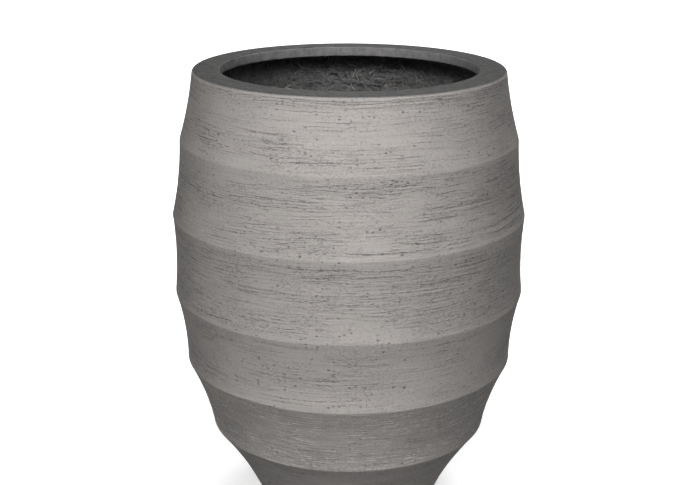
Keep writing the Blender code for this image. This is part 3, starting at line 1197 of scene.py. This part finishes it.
def moulded_material(name, colour, roughness, grain_size):
    """Moulded plastic or rubber with a fine grain, scuffs and a little dust."""
    material, tree, shader = new_material(name, roughness, 0.40)
    place = object_coordinates(tree)
    grain = noise(tree, place, 1 / grain_size, 1 / grain_size)
    scuffs = noise(tree, place, 220.0, 340.0, shift=6.0, detail=4.0, roughness=0.65, distortion=0.6)
    dust = ramp(tree, noise(tree, place, 90.0, 90.0, shift=2.0, detail=3.0), 0.52, 0.72, 0.0, 0.35)
    tone = combined(tree, "ADD", 1.0, swing(tree, scuffs, 0.7), swing(tree, grain, 0.3))
    tree.links.new(mixed(tree, dust, toned(tree, colour, tone), DUST), shader.inputs["Base Color"])
    dull = ramp(tree, scuffs, 0.3, 0.7, roughness - 0.12, roughness + 0.15)
    tree.links.new(dull, shader.inputs["Roughness"])
    bump(tree, shader, combined(tree, "ADD", grain, swing(tree, scuffs, 0.8)), 0.0001)
    return material


def grooved(middle, mouth, floor, deep):
    """A groove in a section: from its middle to the edges of its mouth and floor, and down to its floor."""
    return [middle + mouth, middle + floor + deep, middle - floor + deep, middle - mouth]


def bush_section(drain):
    """The bush's section: its bore, the flange with its groove, and the sleeve."""
    under = BUSH_HIGH.z - drain.flange_thickness
    groove = drain.sleeve_radius + drain.bead_offset
    bore_top = at(drain.bore_radius, BUSH_HIGH.z)
    edge = at(BUSH_HIGH.x, BUSH_HIGH.z)
    edge_foot = at(BUSH_HIGH.x, under)
    sleeve_top = at(drain.sleeve_radius, under)
    sleeve_foot = at(drain.sleeve_radius, BUSH_LOW.z)
    bore_foot = at(drain.bore_radius, BUSH_LOW.z)
    return [
        *rounded(bore_foot, bore_top, edge, drain.edge_round, 4),
        at(groove - drain.bead, BUSH_HIGH.z),
        at(groove, BUSH_HIGH.z - drain.bead),
        at(groove + drain.bead, BUSH_HIGH.z),
        *rounded(bore_top, edge, edge_foot, drain.edge_round, 6),
        edge_foot,
        sleeve_top,
        *rounded(sleeve_top, sleeve_foot, bore_foot, drain.edge_round, 4),
        *rounded(sleeve_foot, bore_foot, bore_top, drain.edge_round / 2, 3),
    ]


class PLANTER_OT_drain_bush(bpy.types.Operator):
    """Makes the flanged sleeve in the drain hole"""

    bl_idname = "planter.drain_bush"
    bl_label = "Drain bush"

    def execute(self, context):
        drain = context.scene.planter_drain
        plastic = moulded_material("Moulded plastic", drain.plastic, 0.45, 0.0004)
        piece = turned_piece("drain_sleeve", bush_section(drain), drain.columns, plastic)
        finished(piece, "pot", "bush_plastic", "drain_bush")
        return {"FINISHED"}


def knob_section(drain, neck_foot):
    """The knob's dished top, and its rounded side, which is ribbed."""
    knob_foot = neck_foot + drain.neck_length
    dish = PLUG_HIGH.z - drain.dish_depth
    dish_radius = drain.knob_radius * 0.45
    brim_radius = drain.knob_radius * 0.60
    top = at(0.0, PLUG_HIGH.z)
    edge = at(drain.knob_radius, PLUG_HIGH.z)
    under = at(drain.knob_radius, knob_foot)
    neck_top = at(drain.neck_radius, knob_foot)
    face = [at(0.0, dish), at(dish_radius, dish), at(brim_radius, PLUG_HIGH.z)]
    side = rounded(top, edge, under, drain.edge_round * 1.8, 6)
    side += rounded(edge, under, neck_top, drain.edge_round, 4)
    return face, side, under, neck_top


def stem_section(drain, top, foot):
    """The stem's side, with three grooves round it, and its foot."""
    mouth = at(0.0, drain.ring_height / 2)
    floor = at(0.0, drain.ring_height * 0.3)
    inward = at(-drain.ring_depth, 0.0)
    side = [top]
    for share in (0.25, 0.50, 0.75):
        side += grooved(top.lerp(foot, share), mouth, floor, inward)
    end = at(0.0, foot.y)
    return side + rounded(top, foot, end, drain.edge_round, 4) + [end]


class PLANTER_OT_drain_plug(bpy.types.Operator):
    """Makes the plug with its ribbed knob"""

    bl_idname = "planter.drain_plug"
    bl_label = "Drain plug"

    def execute(self, context):
        drain = context.scene.planter_drain
        seat = BUSH_HIGH.z + drain.stem_clearance
        neck_foot = seat + drain.head_thickness
        stem_radius = drain.bore_radius - drain.stem_clearance
        face, side, knob_under, neck_top = knob_section(drain, neck_foot)
        neck_base = at(drain.neck_radius, neck_foot)
        head_edge = at(PLUG_HIGH.x, neck_foot)
        head_under = at(PLUG_HIGH.x, seat)
        section = face + side
        section += rounded(knob_under, neck_top, neck_base, drain.edge_round, 3)
        section += rounded(neck_top, neck_base, head_edge, drain.edge_round, 4)
        section += rounded(neck_base, head_edge, head_under, drain.edge_round, 5)
        section.append(head_under)
        stem_foot = at(stem_radius - drain.stem_taper, PLUG_LOW.z)
        section += stem_section(drain, at(stem_radius, seat), stem_foot)
        ribbed = range(len(face) + 1, len(face) + len(side) - 1)

        def flutes(number, angle):
            """How far the knob's side is cut back between its ribs."""
            if number not in ribbed:
                return 0.0
            return -drain.rib_depth * (0.5 - 0.5 * math.cos(drain.grip_ribs * angle))

        rubber = moulded_material("Black rubber", drain.rubber, 0.60, 0.0005)
        piece = turned_piece("drain_bung", section, drain.columns, rubber, flutes)
        finished(piece, "plug", "plug_rubber", "drain_plug")
        return {"FINISHED"}


def pad_section(pads, radius, thickness):
    """A pad's section: its top, its rounded edge, and the rings of its tread."""
    top = at(0.0, thickness)
    top_edge = at(radius, thickness)
    low_edge = at(radius, 0.0)
    low = at(0.0, 0.0)
    pitch = radius / (pads.groove_count + 1)
    mouth = at(pitch * 0.22, 0.0)
    floor = at(pitch * 0.154, 0.0)
    deep = at(0.0, pads.groove_depth)
    section = [top]
    section += rounded(top, top_edge, low_edge, pads.edge_round / 2, 3)
    section += rounded(top_edge, low_edge, low, pads.edge_round, 5)
    for number in range(pads.groove_count, 0, -1):
        section += grooved(at(pitch * number, 0.0), mouth, floor, deep)
    return section + [low]


class PLANTER_OT_foot_pads(bpy.types.Operator):
    """Makes the rubber pads with ringed treads"""

    bl_idname = "planter.foot_pads"
    bl_label = "Foot pads"

    def execute(self, context):
        pads = context.scene.planter_pads
        section = pad_section(pads, (PAD_HIGH.x - PAD_LOW.x) / 2, PAD_HIGH.z - PAD_LOW.z)
        rubber = moulded_material("Grey rubber", pads.rubber, 0.75, 0.0006)
        for number, centre in enumerate(PAD_CENTRES, 1):
            piece = turned_piece(f"rubber_foot_{number}", section, pads.columns, rubber)
            piece.data.transform(Matrix.Translation((centre.x, centre.y, PAD_LOW.z)))
            finished(piece, "pot", "pad_rubber", f"foot_pad_{number}")
        return {"FINISHED"}


def plain_sight(tree):
    """1 for rays that see the backdrop: the camera's, and those that gloss or glass sends on."""
    rays = add(tree, "ShaderNodeLightPath").outputs
    seen = maths(tree, "MAXIMUM", rays["Is Camera Ray"], rays["Is Glossy Ray"])
    return maths(tree, "MAXIMUM", seen, rays["Is Transmission Ray"])


def make_world(studio):
    """A world that is white to look at and dim as a light."""
    world = bpy.data.worlds.new("Studio")
    bpy.context.scene.world = world
    world.use_nodes = True
    tree = world.node_tree
    tree.nodes.clear()
    light = add(tree, "ShaderNodeBackground", {"Color": WHITE, "Strength": studio.ambient}).outputs[0]
    sight = add(tree, "ShaderNodeBackground", {"Color": WHITE, "Strength": 1.0}).outputs[0]
    both = add(tree, "ShaderNodeMixShader", {0: plain_sight(tree), 1: light, 2: sight}).outputs[0]
    add(tree, "ShaderNodeOutputWorld", {"Surface": both})


def make_floor(studio):
    """A wide pale floor that keeps the pot's shadow and looks white further off."""
    reach = 12.0
    mesh = bpy.data.meshes.new("studio_floor")
    corners = [(-reach, -reach, 0.0), (reach, -reach, 0.0), (reach, reach, 0.0), (-reach, reach, 0.0)]
    mesh.from_pydata(corners, [], [(0, 1, 2, 3)])
    material, tree, shader = new_material("Pale floor", 0.9, 0.1)
    seen = plain_sight(tree)
    colour = mixed(tree, seen, opaque(studio.bounce), opaque(studio.floor))
    tree.links.new(colour, shader.inputs["Base Color"])
    inputs = {0: object_coordinates(tree)}
    away = add(tree, "ShaderNodeVectorMath", inputs, operation="LENGTH").outputs["Value"]
    white = ramp(tree, away, studio.glow_reach / 3, studio.glow_reach, studio.near_glow, 1.0)
    glow = add(tree, "ShaderNodeEmission", {"Strength": times(tree, seen, white)})
    both = add(tree, "ShaderNodeAddShader", {0: shader.outputs[0], 1: glow.outputs[0]})
    tree.links.new(both.outputs[0], tree.nodes["Material Output"].inputs["Surface"])
    mesh.materials.append(material)
    new_object("studio_floor", mesh)


def new_lamp(name, kind, power):
    """A lamp that the camera doesn't see."""
    lamp = new_object(name, bpy.data.lights.new(name, kind))
    lamp.data.energy = power
    lamp.visible_camera = False
    return lamp


def make_lamp(name, azimuth, elevation, distance, size, power, spread=180):
    """A soft lamp that faces the pot's middle, from this many degrees right of the camera and up."""
    middle = Vector((0.0, 0.0, 0.4))
    level = math.cos(math.radians(elevation))
    right = math.radians(azimuth)
    way = Vector((math.sin(right) * level, -math.cos(right) * level, math.sin(math.radians(elevation))))
    lamp = new_lamp(name, "AREA", power)
    lamp.data.shape = "RECTANGLE"
    lamp.data.size, lamp.data.size_y = size
    lamp.data.spread = math.radians(spread)
    lamp.location = middle + way * distance
    lamp.rotation_euler = (-way).to_track_quat("-Z", "Y").to_euler()


def make_mouth_spot(studio):
    """A narrow spot high above the pot, whose light passes the rim and falls on the drain."""
    above_rim = 2.7
    lit_radius = 0.15
    lamp = new_lamp("mouth_spot", "SPOT", studio.mouth_power)
    lamp.data.shadow_soft_size = 0.05
    lamp.data.spot_blend = 0.4
    lamp.data.spot_size = 2 * math.atan(lit_radius / above_rim)
    lamp.location = (0.0, 0.0, SHELL_HIGH.z + above_rim)


def make_camera(studio):
    """The camera that took the photograph, as its fit to the pot's outline gives it."""
    camera = new_object("Camera", bpy.data.cameras.new("Camera"))
    camera.data.lens = studio.lens
    tilt = Matrix.Rotation(math.pi / 2 - studio.pitch, 4, "X")
    turn = Matrix.Rotation(studio.yaw, 4, "Z")
    lean = Matrix.Rotation(studio.roll, 4, "Z")
    camera.matrix_world = Matrix.Translation(studio.camera_place) @ turn @ tilt @ lean
    bpy.context.scene.camera = camera


class PLANTER_OT_stage(bpy.types.Operator):
    """Sets up the floor, the world, the lamps and the camera"""

    bl_idname = "planter.stage"
    bl_label = "Studio"

    def execute(self, context):
        studio = context.scene.planter_studio
        make_world(studio)
        make_floor(studio)
        for number, strip in enumerate(STRIPS, 1):
            make_lamp(
                f"strip_{number}",
                azimuth=strip.azimuth,
                elevation=strip.elevation,
                distance=STRIP_DISTANCE,
                size=STRIP_SIZE,
                power=studio.front_power * strip.share,
                spread=strip.spread,
            )
        make_lamp(
            "back_lamp", azimuth=169, elevation=40, distance=6.0, size=(2.4, 2.4), power=studio.back_power
        )
        make_mouth_spot(studio)
        make_camera(studio)
        context.scene.view_settings.view_transform = "Standard"
        return {"FINISHED"}


class PLANTER_PT_panel(bpy.types.Panel):
    """Lists the planter's operators"""

    bl_idname = "PLANTER_PT_panel"
    bl_label = "Balloon planter"
    bl_space_type = "VIEW_3D"
    bl_region_type = "UI"
    bl_category = "Planter"

    def draw(self, context):
        for operator in OPERATORS:
            self.layout.operator(operator.bl_idname)


GROUPS = {
    "planter_pot": PotSizes,
    "planter_lining": LiningSizes,
    "planter_drain": DrainSizes,
    "planter_pads": PadSizes,
    "planter_studio": StudioSettings,
}

OPERATORS = (
    PLANTER_OT_stage,
    PLANTER_OT_clay_body,
    PLANTER_OT_fibre_lining,
    PLANTER_OT_glass_strands,
    PLANTER_OT_drain_bush,
    PLANTER_OT_drain_plug,
    PLANTER_OT_foot_pads,
)


def register():
    """Adds the groups of sizes, the operators and the panel to Blender."""
    for name, group in GROUPS.items():
        bpy.utils.register_class(group)
        setattr(bpy.types.Scene, name, PointerProperty(type=group))
    for part in (*OPERATORS, PLANTER_PT_panel):
        bpy.utils.register_class(part)


def unregister():
    """Takes them out again."""
    for part in (PLANTER_PT_panel, *reversed(OPERATORS)):
        bpy.utils.unregister_class(part)
    for name, group in GROUPS.items():
        delattr(bpy.types.Scene, name)
        bpy.utils.unregister_class(group)


def main():
    """Makes the stage and every piece."""
    register()
    bpy.ops.planter.stage()
    bpy.ops.planter.clay_body()
    bpy.ops.planter.fibre_lining()
    bpy.ops.planter.glass_strands()
    bpy.ops.planter.drain_bush()
    bpy.ops.planter.drain_plug()
    bpy.ops.planter.foot_pads()


if __name__ == "__main__":
    main()
